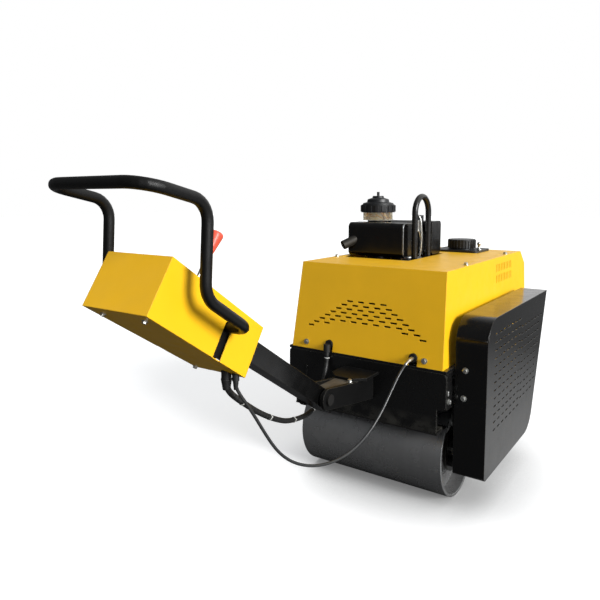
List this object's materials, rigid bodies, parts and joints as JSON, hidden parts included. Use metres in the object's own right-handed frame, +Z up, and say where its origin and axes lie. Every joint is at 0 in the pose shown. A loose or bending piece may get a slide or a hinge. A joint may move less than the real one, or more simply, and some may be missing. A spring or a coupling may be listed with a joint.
{
  "type": "road roller",
  "caption": "Walk-behind tandem road roller with smooth steel drums, a slotted sheet-metal hood, an exposed engine, a drive guard and a hinged steering handle with a control box.",
  "frame": {"origin": "on the floor under the middle of the bounding box", "axes": "+X to the machine's right, +Y forwards away from the handle, +Z up"},
  "size_m": [0.784, 2.2399, 1.1841],
  "materials": {
    "yellow_paint": "gloss enamel",
    "black_paint": "semi-gloss enamel",
    "gloss_black": "gloss powder coat",
    "drum_steel": "satin, worn by rolling",
    "bare_steel": "zinc plated",
    "dark_steel": "matt",
    "engine_grey": "matt",
    "cast_fins": "as cast",
    "muffler_black": "heat-proof semi-gloss",
    "exhaust_steel": "sooted",
    "black_plastic": "moulded grain",
    "clear_bowl": "clear plastic, slightly yellowed",
    "rubber": "matt",
    "primer_tan": "matt",
    "cable_sheath": "smooth sheath",
    "loom_tape": "wound tape",
    "red_knob": "moulded"
  },
  "bodies": {
    "frame": {"axles": "bare_steel", "carrier_discs": "black_paint", "rubber_buffers": "rubber", "rail_left": "black_paint", "rail_right": "black_paint", "deck": "black_paint", "rear_apron": "black_paint", "front_apron": "black_paint", "scraper_rear": "dark_steel", "scraper_front": "dark_steel", "hood_rear": "yellow_paint", "hood_front": "yellow_paint", "hood_left": "yellow_paint", "hood_right": "yellow_paint", "hood_top": "yellow_paint", "engine_block": "engine_grey", "engine_cylinder": "cast_fins", "rocker_cover": "cast_fins", "muffler": "muffler_black", "muffler_outlet": "exhaust_steel", "fuel_tank": "muffler_black", "fuel_cap": "black_plastic", "air_cleaner": "black_plastic", "cleaner_bowl": "clear_bowl", "cleaner_cap": "black_plastic", "lifting_bail": "black_paint", "filler_flange": "black_plastic", "filler_cap": "black_plastic", "side_guard": "gloss_black", "guard_posts_right": "black_paint", "hinge_bracket": "black_paint", "hinge_stop": "primer_tan", "pivot_pin": "bare_steel", "hood_grommets": "rubber", "control_cable": "cable_sheath", "wire_harness": "loom_tape"},
    "drum_rear": {"drum_rear": "drum_steel"},
    "drum_front": {"drum_front": "drum_steel"},
    "handle": {"box_glands": "rubber", "steering_arm": "gloss_black", "control_box": "yellow_paint", "box_base": "yellow_paint", "handle_bar": "gloss_black", "travel_lever": "bare_steel", "lever_knob": "red_knob"}
  },
  "joints": [
    {"name": "drum_rear_spin", "type": "hinge", "parent": "frame", "child": "drum_rear", "pos_m": [-0.061, 0.275, 0.177], "axis": [1, 0, 0], "continuous": true},
    {"name": "drum_front_spin", "type": "hinge", "parent": "frame", "child": "drum_front", "pos_m": [-0.061, 0.745, 0.177], "axis": [1, 0, 0], "continuous": true},
    {"name": "handle_fold", "type": "hinge", "parent": "frame", "child": "handle", "pos_m": [-0.061, -0.255, 0.475], "axis": [-1, 0, 0], "range_deg": [0, 60], "deforming": ["control_cable", "wire_harness"]}
  ]
}
